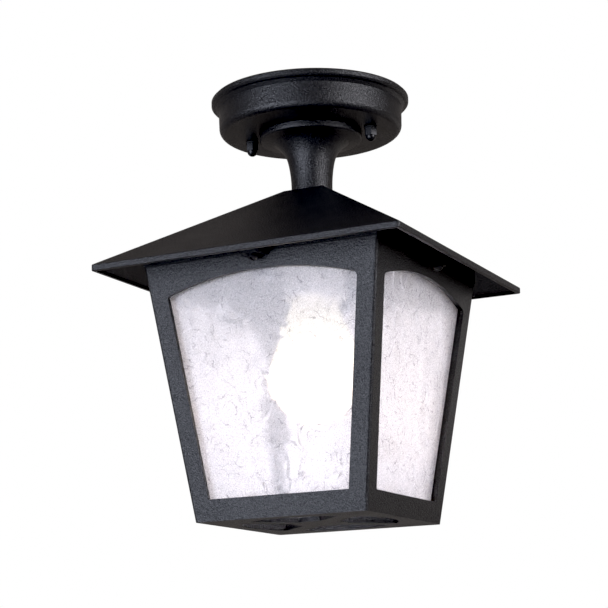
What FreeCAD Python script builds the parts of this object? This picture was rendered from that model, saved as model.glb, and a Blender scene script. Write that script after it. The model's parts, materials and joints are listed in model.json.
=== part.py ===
import FreeCAD, Part
import math
import os
import re
import Sketcher

# A porch ceiling lantern: a round canopy, a short trumpet stem, a hipped roof with
# a thin fascia, and a tapered cage with four arched windows of hammered glass.
# Millimetres. The origin is the centre of the canopy's ceiling plane and +Z is up,
# so everything hangs at negative heights. The front of the cage faces -Y.

Vector = FreeCAD.Vector
Rotation = FreeCAD.Rotation
Placement = FreeCAD.Placement

UP = Vector(0, 0, 1)
ACROSS = Vector(1, 0, 0)
ORIGIN = Vector(0, 0, 0)
SIDES = ("front", "right", "back", "left")
SIDE_STEP = 90.0

# ---------------------------------------------------------------- driving dimensions

DIMENSIONS = (
    ("rim_radius", 63.5, "canopy: outside of the rolled rim"),
    ("rim_height", 4.5, "canopy: height of the rim's outer band"),
    ("wall_radius", 58.9, "canopy: outside of the drum wall"),
    ("face_radius", 54.9, "canopy: where the flat underside starts"),
    ("canopy_depth", 23.1, "canopy: ceiling plane to underside"),
    ("canopy_skin", 1.8, "canopy: wall thickness"),
    ("stud_circle", 40.4, "canopy: radius of the two fixing studs"),
    ("stud_hole", 2.3, "canopy: radius of a stud's hole"),
    ("disc_radius", 32.9, "stem: top disc"),
    ("disc_edge", 4.7, "stem: thickness of the disc at its edge"),
    ("flare_drop", 29.0, "stem: ceiling to the flare's widest part"),
    ("flare_bend", 20.0, "stem: radius of the flare's tight upper curve"),
    ("flare_sweep", 80.0, "stem: radius of the flare's long lower curve"),
    ("stem_radius", 13.1, "stem: straight part"),
    ("rod_radius", 5.0, "threaded tube: outside"),
    ("rod_bore", 4.0, "threaded tube: inside"),
    ("rod_gap", 0.25, "clearance round the threaded tube in plain holes"),
    ("thread_gap", 0.05, "clearance of a threaded fit"),
    ("rod_top_drop", 10.8, "ceiling to the top of the threaded tube"),
    ("rod_foot_drop", 86.8, "ceiling to the foot of the threaded tube"),
    ("roof_top_drop", 62.0, "roof: ceiling to the small flat top"),
    ("roof_top_half", 13.4, "roof: half width of the flat top"),
    ("roof_skin", 3.0, "roof: thickness square to the slope"),
    ("eave_drop", 120.8, "ceiling to the underside of the eaves"),
    ("eave_half", 101.75, "roof: half width at the fascia"),
    ("fascia_rise", 3.6, "roof: height of the fascia"),
    ("fascia_corner", 2.0, "roof: rounding of the fascia's four corners"),
    ("lip_width", 2.6, "roof: thickness of the fascia"),
    ("seat_rise", 4.5, "roof: seat ring's foot above the eaves"),
    ("seat_width", 3.0, "roof: width of the seat ring"),
    ("cage_half", 77.75, "cage: half width level with the eaves"),
    ("cage_foot_half", 56.6, "cage: half width at the bottom"),
    ("cage_drop", 151.7, "cage: eaves to bottom"),
    ("cage_rise", 3.5, "cage: top edge above the eaves"),
    ("cage_wall", 2.5, "cage: wall thickness, level"),
    ("cage_floor", 3.0, "cage: thickness of the bottom grille"),
    ("cage_corner", 2.0, "cage: rounding of the four slanting corners"),
    ("post_width", 12.2, "cage: corner to window"),
    ("window_foot_drop", 138.7, "eaves to the window's sill"),
    ("window_spring_drop", 15.6, "eaves to where the window's arch springs"),
    ("arch_radius", 210.0, "radius of the window's flat arch"),
    ("window_corner", 3.0, "rounding of the window's two upper corners"),
    ("grille_radius", 48.0, "grille: outside of the four openings"),
    ("grille_hub", 17.0, "grille: radius of the hub"),
    ("grille_web", 12.0, "grille: width of the diagonal webs"),
    ("sill_rib", 6.0, "cage: height of the rib behind the glass"),
    ("lug_reach", 10.0, "cage: how far a lug stands out from the wall"),
    ("lug_half", 7.5, "cage: half width of a lug"),
    ("lug_thick", 2.4, "cage: thickness of a lug"),
    ("lug_screw_radius", 83.4, "centre to each retaining screw's axis"),
    ("boss_radius", 4.5, "roof: radius of the bosses over the lugs"),
    ("seal_thick", 2.0, "glass seal: thickness"),
    ("glass_thick", 3.0, "glass pane: thickness"),
    ("glass_margin", 8.3, "cage outside to the pane's edge"),
    ("glass_top_drop", 1.5, "eaves to the top of the pane"),
    ("glass_foot_drop", 148.1, "eaves to the foot of the pane"),
    ("holder_drop", 76.8, "ceiling to the top of the lampholder's neck"),
    ("holder_radius", 19.5, "lampholder: outside"),
    ("holder_cap", 24.0, "lampholder: height of the cap with its neck"),
    ("holder_barrel", 31.0, "lampholder: height of the barrel"),
    ("lamp_tip_drop", 106.8, "ceiling to the lamp's centre contact"),
    ("lamp_cap_radius", 13.2, "lamp: screw cap"),
    ("lamp_radius", 30.0, "lamp: widest part of the glass"),
    ("lamp_length", 104.5, "lamp: tip to bottom"),
)

DEGREES_STUDS_TURNED = 6.3

document = FreeCAD.newDocument("porch_ceiling_lantern")
sheet = document.addObject("Spreadsheet::Sheet", "dims")
for row, (alias, size, note) in enumerate(DIMENSIONS, start=1):
    sheet.set("A%d" % row, alias)
    sheet.set("B%d" % row, str(size))
    sheet.set("C%d" % row, note)
    sheet.setAlias("B%d" % row, alias)
document.recompute()

ALIAS_WORDS = re.compile(r"\b(%s)\b" % "|".join(alias for alias, size, note in DIMENSIONS))


def linked(formula):
    """The formula with each dimension's name pointed at its cell."""
    return ALIAS_WORDS.sub(r"dims.\1", formula)


def value(formula):
    """The formula's value now, for a place that has no property to bind."""
    return float(sheet.evalExpression(linked(formula)))


def bind(thing, **formulas):
    """Bind each named property to its formula."""
    for name, formula in formulas.items():
        thing.setExpression(name, linked(formula))


# ---------------------------------------------------------------- sketches and features


def new_body(name):
    """An empty body whose label is the sub-part's name."""
    body = document.addObject("PartDesign::Body", name)
    body.Label = name
    return body


def sketch_on(body, plane, height="0"):
    """An empty sketch on one of the body's own planes, moved along its normal."""
    sketch = body.newObject("Sketcher::SketchObject", body.Name + "_sketch")
    support = [item for item in body.Origin.OriginFeatures if item.Role == plane][0]
    sketch.AttachmentSupport = [(support, "")]
    sketch.MapMode = "FlatFace"
    sketch.setExpression("AttachmentOffset.Base.z", linked(height))
    return sketch


def pin_point(sketch, piece, end, across, up):
    """Fix a point of the sketch at two formulas, measured from its origin."""
    axes = (("DistanceX", across, -2), ("DistanceY", up, -1))
    for kind, formula, axis in axes:
        if formula == "0":
            sketch.addConstraint(Sketcher.Constraint("PointOnObject", piece, end, axis))
        else:
            mark = sketch.addConstraint(
                Sketcher.Constraint(kind, piece, end, value(formula)))
            sketch.setExpression("Constraints[%d]" % mark, linked(formula))


def arc_between(start, finish, radius, side):
    """The short arc between two points; side is 1 or -1, the chord's side of its centre."""
    chord = finish - start
    middle = (start + finish) * 0.5
    normal = Vector(-chord.y, chord.x, 0).normalize()
    reach = math.sqrt(radius ** 2 - (chord.Length / 2) ** 2)
    centre = middle + normal * reach * side
    angles = [math.atan2(point.y - centre.y, point.x - centre.x) for point in (start, finish)]
    if side < 0:
        angles.reverse()
    return Part.ArcOfCircle(Part.Circle(centre, UP, radius), angles[0], angles[1])


def outline(sketch, corners, arcs=None):
    """A closed outline. Each corner is two formulas; arcs gives a side's radius and centre."""
    arcs = arcs or {}
    points = [Vector(value(across), value(up), 0) for across, up in corners]
    first = sketch.GeometryCount
    count = len(points)
    ends = []
    for index, start in enumerate(points):
        finish = points[(index + 1) % count]
        if index in arcs:
            radius, side = arcs[index]
            sketch.addGeometry(arc_between(start, finish, value(radius), side), False)
            ends.append((1, 2) if side > 0 else (2, 1))
        else:
            sketch.addGeometry(Part.LineSegment(start, finish), False)
            ends.append((1, 2))
    for index, (across, up) in enumerate(corners):
        piece = first + index
        before = (index - 1) % count
        sketch.addConstraint(Sketcher.Constraint(
            "Coincident", first + before, ends[before][1], piece, ends[index][0]))
        pin_point(sketch, piece, ends[index][0], across, up)
    for index, (radius, side) in arcs.items():
        mark = sketch.addConstraint(
            Sketcher.Constraint("Radius", first + index, value(radius)))
        sketch.setExpression("Constraints[%d]" % mark, linked(radius))


def circle(sketch, across, up, radius):
    """A circle with its centre at two formulas."""
    centre = Vector(value(across), value(up), 0)
    piece = sketch.addGeometry(Part.Circle(centre, UP, value(radius)), False)
    pin_point(sketch, piece, 3, across, up)
    mark = sketch.addConstraint(Sketcher.Constraint("Radius", piece, value(radius)))
    sketch.setExpression("Constraints[%d]" % mark, linked(radius))


def square(sketch, half):
    """A square about the sketch's origin."""
    low = "-(%s)" % half
    outline(sketch, ((low, low), (half, low), (half, half), (low, half)))


def extrude(body, kind, sketch, length, backwards=False, both_ways=False):
    """A pad or a pocket of the sketch; a pocket has to take something away."""
    feature = body.newObject("PartDesign::" + kind, body.Name + "_" + kind.lower())
    feature.Profile = sketch
    feature.Reversed = backwards
    feature.SideType = "Symmetric" if both_ways else "One side"
    bind(feature, Length=length)
    finish_feature(body, feature, cuts=(kind == "Pocket"))
    return feature


def finish_feature(body, feature, cuts):
    """Recompute, and make sure that a cut has cut."""
    before = feature.BaseFeature.Shape.Volume if feature.BaseFeature else 0.0
    document.recompute()
    body.Tip = feature
    after = feature.Shape.Volume
    if cuts and after >= before - 1e-3:
        raise ValueError("%s cut nothing" % feature.Name)
    if not cuts and after <= before + 1e-3:
        raise ValueError("%s added nothing" % feature.Name)


def taper(body, kind, sections):
    """Square frustums, stacked or cut away between sections of half width and height."""
    upright = [item for item in body.Origin.OriginFeatures if item.Role == "XZ_Plane"][0]
    for (low_half, low), (high_half, high) in zip(sections, sections[1:]):
        feature = body.newObject("PartDesign::%sWedge" % kind, body.Name + "_taper")
        feature.AttachmentSupport = [(upright, "")]
        feature.MapMode = "FlatFace"
        bind(feature, Ymin=low, Ymax=high)
        for sign, end in (("-", "min"), ("", "max")):
            for axis in ("X", "Z"):
                feature.setExpression(axis + end, linked("%s(%s)" % (sign, low_half)))
                feature.setExpression(axis + "2" + end, linked("%s(%s)" % (sign, high_half)))
        finish_feature(body, feature, cuts=(kind == "Subtractive"))


def around(body, feature, count):
    """Repeat a feature about the vertical axis."""
    pattern = body.newObject("PartDesign::PolarPattern", body.Name + "_around")
    pattern.Originals = [feature]
    upright = [item for item in body.Origin.OriginFeatures if item.Role == "Z_Axis"][0]
    pattern.Axis = (upright, [""])
    pattern.Angle = 360.0
    pattern.Occurrences = count
    body.Tip = pattern
    document.recompute()
    return pattern


def round_edges(body, radius, chosen):
    """Round the edges of the body's tip that the test picks by their middle point."""
    tip = body.Tip
    names = []
    for index, edge in enumerate(tip.Shape.Edges, start=1):
        if edge.Length > 1e-6 and chosen(edge, edge.CenterOfMass):
            names.append("Edge%d" % index)
    fillet = body.newObject("PartDesign::Fillet", body.Name + "_rounding")
    fillet.Base = (tip, names)
    fillet.Radius = radius
    document.recompute()
    body.Tip = fillet
    return fillet


def turned(name, corners, arcs=None):
    """A round piece: its outline, as radius and height, turned about the vertical axis."""
    body = new_body(name)
    sketch = sketch_on(body, "XZ_Plane")
    outline(sketch, corners, arcs)
    revolution = body.newObject("PartDesign::Revolution", name + "_turned")
    revolution.Profile = sketch
    revolution.ReferenceAxis = (sketch, ["V_Axis"])
    revolution.Angle = 360.0
    finish_feature(body, revolution, cuts=False)
    return body


def ring(name, inner, outer, top, bottom):
    """A plain washer, tube or disc between two heights."""
    return turned(name, ((inner, bottom), (outer, bottom), (outer, top), (inner, top)))


def hex_nut(name, flats, bore, top, thick):
    """A plain hexagon nut, from primitives, about the vertical axis."""
    block = document.addObject("Part::Prism", name + "_block")
    block.Polygon = 6
    bind(block, Circumradius="(%s) / sqrt(3)" % flats, Height=thick)
    hole = document.addObject("Part::Cylinder", name + "_hole")
    bind(hole, Radius=bore, Height=thick)
    nut = document.addObject("Part::Cut", name)
    nut.Base = block
    nut.Tool = hole
    nut.Label = name
    nut.setExpression("Placement.Base.z", linked("%s - (%s)" % (top, thick)))
    return nut


def group(name, members):
    """Several separate solids kept as one sub-part."""
    document.recompute()
    compound = document.addObject("Part::Compound", name)
    compound.Links = members
    compound.Label = name
    return compound


def turn_to_side(thing, number):
    """Turn a piece made for the front side to the numbered side."""
    turn = Placement(ORIGIN, Rotation(UP, SIDE_STEP * number))
    thing.Placement = turn.multiply(thing.Placement)
    return thing


def stud_place(sign):
    """Where a fixing stud's axis is, with the studs' line turned from +X."""
    turn = Rotation(UP, DEGREES_STUDS_TURNED)
    return turn.multVec(Vector(sign * value("stud_circle"), 0, 0))


def route(points, radius):
    """Straight runs through the points, joined by tangent arcs of the given radius."""
    edges = []
    start = points[0]
    for before, corner, after in zip(points, points[1:], points[2:]):
        toward = (before - corner).normalize()
        away = (after - corner).normalize()
        half_turn = (math.pi - toward.getAngle(away)) / 2
        reach = radius * math.tan(half_turn)
        middle_ray = (toward + away).normalize()
        sink = radius / math.cos(half_turn) - radius
        arc_start = corner + toward * reach
        arc_finish = corner + away * reach
        edges.append(Part.LineSegment(start, arc_start).toShape())
        edges.append(Part.Arc(arc_start, corner + middle_ray * sink, arc_finish).toShape())
        start = arc_finish
    edges.append(Part.LineSegment(start, points[-1]).toShape())
    return Part.Wire(edges)


subparts = []


def keep(thing):
    """Put a finished piece on the list of sub-parts."""
    subparts.append(thing)
    return thing


# ---------------------------------------------------------------- heights that repeat

EAVES = "-eave_drop"
CAGE_FOOT = "-(eave_drop + cage_drop)"
CANOPY_FACE = "-canopy_depth"
CANOPY_INSIDE = "-(canopy_depth - canopy_skin)"
ROOF_TOP = "-roof_top_drop"
STRAP_THICK = "2"
STRAP_STEP = "3.2"
STRAP_END_TOP = "-3.2"
STUD_RADIUS = "2"
STUD_TIP = "-30"
WASHER_THICK = "1"
NUT_FLATS = "7"
FLARE_TURN = "12 deg"
FLARE_END = "60 deg"


def wall_half(drop):
    """Half width of the cage's outside at a distance below the eaves."""
    return "(cage_half - (%s) * (cage_half - cage_foot_half) / cage_drop)" % drop


# ---------------------------------------------------------------- fixed to the ceiling


def mounting_strap():
    """A stepped steel strap: its middle lies on the ceiling, its ends stand clear."""
    strap_half, middle_half, strap_width = "48", "33", "18"
    body = new_body("mounting_strap")
    profile = sketch_on(body, "XZ_Plane")
    low = "-(%s)" % STRAP_THICK
    end_low = "%s - %s" % (STRAP_END_TOP, STRAP_THICK)
    step_out = "36.5"
    outline(profile, (
        ("-" + middle_half, "0"), ("-" + step_out, STRAP_END_TOP),
        ("-" + strap_half, STRAP_END_TOP), ("-" + strap_half, end_low),
        ("-35.5", end_low), ("-32", low), ("32", low), ("35.5", end_low),
        (strap_half, end_low), (strap_half, STRAP_END_TOP),
        (step_out, STRAP_END_TOP), (middle_half, "0")))
    extrude(body, "Pad", profile, strap_width, both_ways=True)
    holes = sketch_on(body, "XY_Plane", "1")
    circle(holes, "0", "0", "7")
    for sign in ("", "-"):
        circle(holes, sign + "25.4", "0", "2.6")
        circle(holes, sign + "stud_circle", "0", STUD_RADIUS + " + thread_gap")
    extrude(body, "Pocket", holes, "20")
    round_edges(body, 4.0, lambda edge, middle: abs(middle.x) > 47.9 and edge.Length < 2.1)
    body.Placement = Placement(ORIGIN, Rotation(UP, DEGREES_STUDS_TURNED))
    keep(body)


def strap_hardware():
    """The two studs that hang from the strap, and the nuts that lock them."""
    studs = []
    lock_nuts = []
    for side, sign in (("left", -1), ("right", 1)):
        stud = turned("strap_stud_" + side, (
            ("0", STUD_TIP), ("1.6", STUD_TIP), (STUD_RADIUS, STUD_TIP + " + 0.6"),
            (STUD_RADIUS, STRAP_END_TOP), ("4", STRAP_END_TOP),
            ("4", STRAP_END_TOP + " + 1.4"), ("2.6", STRAP_END_TOP + " + 2.6"),
            ("0", STRAP_END_TOP + " + 2.6")))
        stud.Placement = Placement(stud_place(sign), Rotation())
        studs.append(stud)
        nut = hex_nut("strap_nut_" + side, NUT_FLATS, STUD_RADIUS + " + thread_gap",
                      "%s - %s" % (STRAP_END_TOP, STRAP_THICK), "3.2")
        place = stud_place(sign)
        nut.setExpression("Placement.Base.x", "%.6f" % place.x)
        nut.setExpression("Placement.Base.y", "%.6f" % place.y)
        lock_nuts.append(nut)
    keep(group("strap_studs", studs))
    keep(group("strap_lock_nuts", lock_nuts))


# ---------------------------------------------------------------- canopy and stem


def ceiling_canopy():
    """A pressed drum with a rolled rim, open at the ceiling."""
    inside = "wall_radius - canopy_skin"
    body = turned("ceiling_canopy", (
        ("rod_radius + rod_gap", CANOPY_FACE), ("face_radius", CANOPY_FACE),
        ("wall_radius - 0.3", CANOPY_FACE + " + 4"), ("wall_radius", "-rim_height - 2.6"),
        ("rim_radius - 2.6", "-rim_height - 0.6"), ("rim_radius - 1", "-rim_height"),
        ("rim_radius", "-rim_height + 1"), ("rim_radius", "-1.2"),
        ("rim_radius - 1.2", "0"), ("rim_radius - 3.6", "0"),
        (inside, "-rim_height + 0.6"), (inside + " - 0.3", CANOPY_INSIDE + " + 2.4"),
        ("face_radius - 0.4", CANOPY_INSIDE), ("rod_radius + rod_gap", CANOPY_INSIDE)),
        arcs={1: ("4.1", 1), 11: ("2.5", -1)})
    holes = sketch_on(body, "XY_Plane", CANOPY_INSIDE + " + 1")
    for sign in (-1, 1):
        place = stud_place(sign)
        circle(holes, "%.4f" % place.x, "%.4f" % place.y, "stud_hole")
    extrude(body, "Pocket", holes, "canopy_skin + 2")
    keep(body)


def canopy_fixings():
    """A sealing washer and a domed nut on each stud, under the canopy."""
    washers = []
    for side, sign in (("left", -1), ("right", 1)):
        washer = ring("canopy_washer_" + side, "stud_hole", "4",
                      CANOPY_FACE, "%s - %s" % (CANOPY_FACE, WASHER_THICK))
        washer.Placement = Placement(stud_place(sign), Rotation())
        washers.append(washer)
    keep(group("canopy_washers", washers))
    for side, sign in (("left", -1), ("right", 1)):
        keep(domed_nut("canopy_nut_" + side, sign))


def domed_nut(name, sign):
    """A closed hexagon nut with a round end."""
    top = "%s - %s" % (CANOPY_FACE, WASHER_THICK)
    hex_height, dome_radius, dome_low = "5", "3.3", "5.25"
    body = turned(name, (
        ("0", "%s - %s - %s" % (top, dome_low, dome_radius)),
        (dome_radius, "%s - %s" % (top, dome_low)),
        (dome_radius, "%s - %s" % (top, hex_height)), ("0", "%s - %s" % (top, hex_height))),
        arcs={0: (dome_radius, 1)})
    flats = sketch_on(body, "XY_Plane", "%s - %s" % (top, hex_height))
    corners = []
    for step in range(6):
        angle = math.radians(60 * step)
        corners.append(("%s / sqrt(3) * %.8f" % (NUT_FLATS, math.cos(angle)),
                        "%s / sqrt(3) * %.8f" % (NUT_FLATS, math.sin(angle))))
    outline(flats, corners)
    extrude(body, "Pad", flats, hex_height)
    bore = sketch_on(body, "XY_Plane", top)
    circle(bore, "0", "0", STUD_RADIUS + " + thread_gap")
    extrude(body, "Pocket", bore, "6.6")
    body.Placement = Placement(stud_place(sign), Rotation())
    return body


def stem():
    """A cast stem: a disc against the canopy, a trumpet flare and a straight neck."""
    bore = "rod_radius + rod_gap"
    edge_low = "-(canopy_depth + disc_edge)"
    soft = "1.6"
    turn_out = "(stem_radius + flare_sweep * (1 - cos(%s)))" % FLARE_TURN
    turn_low = "-(flare_drop + flare_bend * (sin(%s) - sin(%s)))" % (FLARE_END, FLARE_TURN)
    flare_foot = "%s - flare_sweep * sin(%s)" % (turn_low, FLARE_TURN)
    flare_out = "%s + flare_bend * (cos(%s) - cos(%s))" % (turn_out, FLARE_TURN, FLARE_END)
    keep(turned("stem", (
        (bore, ROOF_TOP), ("stem_radius", ROOF_TOP), ("stem_radius", flare_foot),
        (turn_out, turn_low), (flare_out, "-flare_drop"),
        ("disc_radius - " + soft, edge_low), ("disc_radius", "%s + %s" % (edge_low, soft)),
        ("disc_radius", CANOPY_FACE + " - 0.5"), ("disc_radius - 0.5", CANOPY_FACE),
        (bore, CANOPY_FACE)),
        arcs={2: ("flare_sweep", -1), 3: ("flare_bend", -1), 5: (soft, 1)}))


def threaded_tube():
    """The hollow rod that clamps canopy, stem and roof together, and its fixings."""
    top, foot = "-rod_top_drop", "-rod_foot_drop"
    chamfer = "0.7"
    keep(turned("threaded_tube", (
        ("rod_bore", foot), ("rod_radius - " + chamfer, foot),
        ("rod_radius", "%s + %s" % (foot, chamfer)), ("rod_radius", "%s - %s" % (top, chamfer)),
        ("rod_radius - " + chamfer, top), ("rod_bore", top))))
    keep(turned("tube_bush", (
        ("3.2", top + " - 6"), ("rod_bore - thread_gap", top + " - 6"),
        ("rod_bore - thread_gap", top), ("5.2", top), ("5.2", top + " + 1"),
        ("4.6", top + " + 1.4"), ("3.2", top + " + 1.4"))))
    washer_thick, nut_thick, flats = "1.5", "5", "17"
    threaded = "rod_radius + thread_gap"
    roof_inside = "-(roof_top_drop + roof_skin)"
    keep(ring("tube_washer_top", "rod_radius + rod_gap", "10.5",
              "%s + %s" % (CANOPY_INSIDE, washer_thick), CANOPY_INSIDE))
    keep(hex_nut("tube_nut_top", flats, threaded,
                 "%s + %s + %s" % (CANOPY_INSIDE, washer_thick, nut_thick), nut_thick))
    keep(ring("tube_washer_bottom", "rod_radius + rod_gap", "10.5",
              roof_inside, "%s - %s" % (roof_inside, washer_thick)))
    keep(hex_nut("tube_nut_bottom", flats, threaded,
                 "%s - %s" % (roof_inside, washer_thick), nut_thick))


# ---------------------------------------------------------------- inside the canopy

BLOCK_HALF, BLOCK_NEAR, BLOCK_DEEP, BLOCK_HIGH = 15.0, 23.0, 14.0, 11.5
BLOCK_WAYS = (-9.5, 0.0, 9.5)
EARTH_PLACE = Vector(-20, -22, 0)


def terminal_block():
    """A three-way terminal block screwed to the canopy's floor, and an earth screw."""
    body = new_body("terminal_block")
    base = sketch_on(body, "XY_Plane", CANOPY_INSIDE)
    near, far = str(BLOCK_NEAR), str(BLOCK_NEAR + BLOCK_DEEP)
    half = str(BLOCK_HALF)
    outline(base, (("-" + half, near), (half, near), (half, far), ("-" + half, far)))
    extrude(body, "Pad", base, str(BLOCK_HIGH))
    ways = sketch_on(body, "XZ_Plane", "-" + far)
    entry_height = "%s + 6" % CANOPY_INSIDE
    for way in BLOCK_WAYS:
        circle(ways, "%g" % way if way else "0", entry_height, "1.7")
    extrude(body, "Pocket", ways, str(BLOCK_DEEP * 2 + 1), both_ways=True)
    wells = sketch_on(body, "XY_Plane", "%s + %s" % (CANOPY_INSIDE, BLOCK_HIGH))
    for way in BLOCK_WAYS:
        for along in (BLOCK_NEAR + 4, BLOCK_NEAR + 10):
            circle(wells, "%g" % way if way else "0", str(along), "1.6")
    extrude(body, "Pocket", wells, "4")
    middle = sketch_on(body, "XY_Plane", "%s + %s" % (CANOPY_INSIDE, BLOCK_HIGH))
    for across in ("-4.75", "4.75"):
        circle(middle, across, str(BLOCK_NEAR + BLOCK_DEEP / 2), "1.65")
    extrude(body, "Pocket", middle, str(BLOCK_HIGH + 1))
    round_edges(body, 0.6, lambda edge, middle: middle.z > value(CANOPY_INSIDE) + 11.4
                and edge.Length > 10)
    keep(body)
    clamps = []
    for number, way in enumerate(BLOCK_WAYS):
        for row, along in enumerate((BLOCK_NEAR + 4, BLOCK_NEAR + 10)):
            low = "%s + %s - 3.9" % (CANOPY_INSIDE, BLOCK_HIGH)
            screw = ring("block_clamp_%d%d" % (number, row), "0", "1.5", low + " + 2.6", low)
            screw.Placement = Placement(Vector(way, along, 0), Rotation())
            clamps.append(screw)
    keep(group("terminal_clamp_screws", clamps))
    fixings = []
    for number, across in enumerate((-4.75, 4.75)):
        head_low = "%s + %s" % (CANOPY_INSIDE, BLOCK_HIGH)
        screw = turned("block_screw_%d" % number, (
            ("0", CANOPY_INSIDE), ("1.5", CANOPY_INSIDE), ("1.5", head_low),
            ("2.8", head_low), ("2.4", head_low + " + 1.3"), ("0", head_low + " + 1.3")))
        screw.Placement = Placement(
            Vector(across, BLOCK_NEAR + BLOCK_DEEP / 2, 0), Rotation())
        fixings.append(screw)
    keep(group("terminal_block_screws", fixings))
    earth = turned("earth_screw", (
        ("0", CANOPY_INSIDE), ("4.5", CANOPY_INSIDE), ("4.5", CANOPY_INSIDE + " + 0.8"),
        ("3.6", CANOPY_INSIDE + " + 0.8"), ("3.6", CANOPY_INSIDE + " + 2.6"),
        ("2.8", CANOPY_INSIDE + " + 3.4"), ("0", CANOPY_INSIDE + " + 3.4")))
    earth.Placement = Placement(EARTH_PLACE, Rotation())
    keep(earth)


WIRE_RADIUS = 1.0
WIRE_BEND = 2.6
WIRE_CIRCLE = 1.9
HOLDER_TERMINAL_OUT = 8.0


def wires():
    """Three insulated wires down the tube, from the canopy to the lampholder."""
    high = -5.6
    entry = value(CANOPY_INSIDE) + 6.0
    tube_foot = value("-rod_foot_drop")
    terminal_top = value("-(holder_drop + holder_cap)") + 4.6
    earth_top = value(CANOPY_INSIDE) + 4.6
    finishes = {
        "wire_live": (150, [Vector(-9.5, 15.5, high), Vector(-9.5, 19.5, entry),
                            Vector(-9.5, 25.5, entry)], Vector(-8, 0, 0)),
        "wire_neutral": (30, [Vector(9.5, 15.5, high), Vector(9.5, 19.5, entry),
                              Vector(9.5, 25.5, entry)], Vector(8, 0, 0)),
        "wire_earth": (270, [Vector(-13.5, -15.5, high), Vector(-17.5, -19.5, earth_top)],
                       Vector(0, -8, 0)),
    }
    for name, (angle, upper, terminal) in finishes.items():
        spot = Vector(WIRE_CIRCLE * math.cos(math.radians(angle)),
                      WIRE_CIRCLE * math.sin(math.radians(angle)), 0)
        points = [terminal + Vector(0, 0, terminal_top), spot + Vector(0, 0, tube_foot - 1.5),
                  spot + Vector(0, 0, high)] + upper
        path = route(points, WIRE_BEND)
        start_way = (points[1] - points[0]).normalize()
        section = Part.Wire([Part.Circle(points[0], start_way, WIRE_RADIUS).toShape()])
        solid = path.makePipeShell([section], True, False)
        feature = document.addObject("Part::Feature", name)
        feature.Shape = solid
        feature.Label = name
        expected = math.pi * WIRE_RADIUS ** 2 * path.Length
        print("%s length %.1f volume %.1f of %.1f" % (name, path.Length, solid.Volume, expected))
        keep(feature)


# ---------------------------------------------------------------- roof


def roof():
    """A hipped cast roof with a fascia, a seat ring for the cage and four bosses."""
    body = new_body("roof")
    fascia_top = EAVES + " + fascia_rise"
    taper(body, "Additive", (
        ("eave_half", EAVES), ("eave_half", fascia_top), ("roof_top_half", ROOF_TOP)))
    round_edges(body, value("fascia_corner"),
                lambda edge, middle: min(abs(middle.x), abs(middle.y)) > value("eave_half") - 1)
    slope_run = "(eave_half - roof_top_half)"
    slope_rise = "(eave_drop - fascia_rise - roof_top_drop)"
    skin_drop = "(roof_skin * sqrt(%s^2 + %s^2) / %s)" % (slope_run, slope_rise, slope_run)
    lip_inside = "(eave_half - lip_width)"
    lip_top_rise = "(lip_width * %s / %s + fascia_rise - %s)" % (slope_rise, slope_run, skin_drop)
    inner_top = "-(roof_top_drop + roof_skin)"
    inner_top_half = "(%s - (%s - (%s)) * %s / %s)" % (
        lip_inside, inner_top, EAVES + " + " + lip_top_rise, slope_run, slope_rise)
    taper(body, "Subtractive", (
        (lip_inside, EAVES), (lip_inside, EAVES + " + " + lip_top_rise),
        (inner_top_half, inner_top)))
    seat_half = wall_half("-seat_rise")
    seat = sketch_on(body, "XY_Plane", EAVES + " + seat_rise")
    square(seat, seat_half)
    square(seat, "(%s - seat_width)" % seat_half)
    roof_over_seat = "((eave_half - %s) * %s / %s + fascia_rise)" % (
        seat_half, slope_rise, slope_run)
    extrude(body, "Pad", seat, roof_over_seat + " - seat_rise - 0.6")
    boss = sketch_on(body, "XY_Plane", EAVES + " + cage_rise")
    circle(boss, "0", "-lug_screw_radius", "boss_radius")
    roof_over_boss = "((eave_half - lug_screw_radius - boss_radius) * %s / %s + fascia_rise)" % (
        slope_rise, slope_run)
    bosses = extrude(body, "Pad", boss, roof_over_boss + " - cage_rise - 0.6")
    around(body, bosses, len(SIDES))
    pilot = sketch_on(body, "XY_Plane", EAVES + " + cage_rise")
    circle(pilot, "0", "-lug_screw_radius", STUD_RADIUS + " + thread_gap")
    pilots = extrude(body, "Pocket", pilot, "8", backwards=True)
    around(body, pilots, len(SIDES))
    rod_hole = sketch_on(body, "XY_Plane", ROOF_TOP + " + 1")
    circle(rod_hole, "0", "0", "rod_radius + rod_gap")
    extrude(body, "Pocket", rod_hole, "roof_skin + 3")
    edge_low, edge_high = value(EAVES), value(fascia_top)
    outer = value("eave_half") - 0.5
    round_edges(body, 0.7, lambda edge, middle: max(abs(middle.x), abs(middle.y)) > outer
                and (abs(middle.z - edge_low) < 0.01 or abs(middle.z - edge_high) < 0.01))
    keep(body)


def roof_gasket():
    """A square rubber ring between the roof's seat ring and the cage's top edge."""
    body = new_body("roof_gasket")
    half = wall_half("-seat_rise")
    sketch = sketch_on(body, "XY_Plane", EAVES + " + cage_rise")
    square(sketch, "(%s - 0.4)" % half)
    square(sketch, "(%s - seat_width)" % half)
    extrude(body, "Pad", sketch, "seat_rise - cage_rise")
    keep(body)


# ---------------------------------------------------------------- lampholder and lamp

HOLDER_TOP = "-holder_drop"
HOLDER_SPLIT = "-(holder_drop + holder_cap)"
HOLDER_FOOT = "-(holder_drop + holder_cap + holder_barrel)"
INSERT_LOW = HOLDER_SPLIT + " - 5"


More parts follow.
